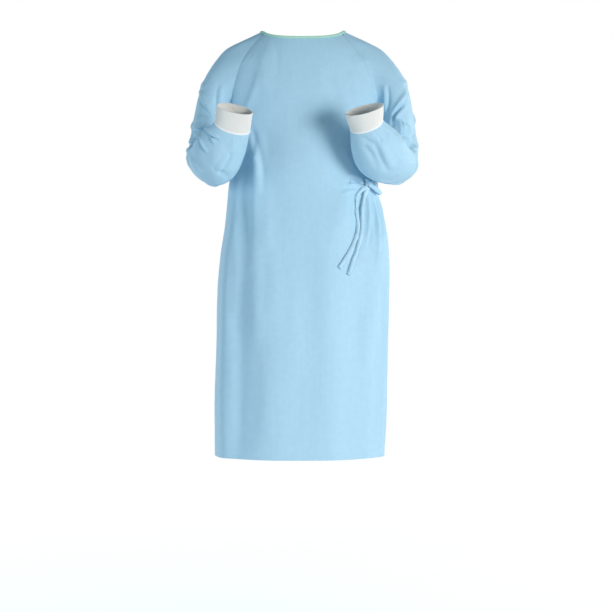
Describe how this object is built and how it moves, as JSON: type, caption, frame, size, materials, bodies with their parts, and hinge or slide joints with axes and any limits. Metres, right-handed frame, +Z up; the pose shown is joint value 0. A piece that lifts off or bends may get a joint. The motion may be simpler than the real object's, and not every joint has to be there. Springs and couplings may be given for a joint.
{
  "type": "surgical gown",
  "caption": "Wrap-back nonwoven surgical gown with raglan sleeves, knit cuffs, a bound round neck and a waist tie knotted at the side, hollow, in its worn pose.",
  "frame": {"origin": "middle of the neck opening, level with the tops of the shoulders, where the wearer's shoulders carry the gown", "axes": "+Z up along the body, -Y the way the wearer faces, +X towards the wearer's left hand"},
  "size_m": [0.6344, 0.5153, 1.1625],
  "materials": {
    "gown_cloth": "light blue spunbond nonwoven, matt, slightly translucent",
    "cuff_knit": "white rib-knit polyester",
    "binding": "pale green nonwoven bias tape",
    "touch_tape": "white hook and loop tape"
  },
  "bodies": {
    "root": {"front_panel": "gown_cloth", "back_panel_left": "gown_cloth", "back_panel_right": "gown_cloth", "sleeve_left": "gown_cloth", "sleeve_right": "gown_cloth", "cuff_left": "cuff_knit", "cuff_right": "cuff_knit", "neck_binding": "binding", "touch_tape_loop": "touch_tape", "touch_tape_hook": "touch_tape", "tie_front": "gown_cloth", "tie_wrap": "gown_cloth", "tie_knot": "gown_cloth", "tie_loop_long": "gown_cloth", "tie_loop_short": "gown_cloth", "tie_tail_front": "gown_cloth", "tie_tail_wrap": "gown_cloth"}
  },
  "joints": []
}
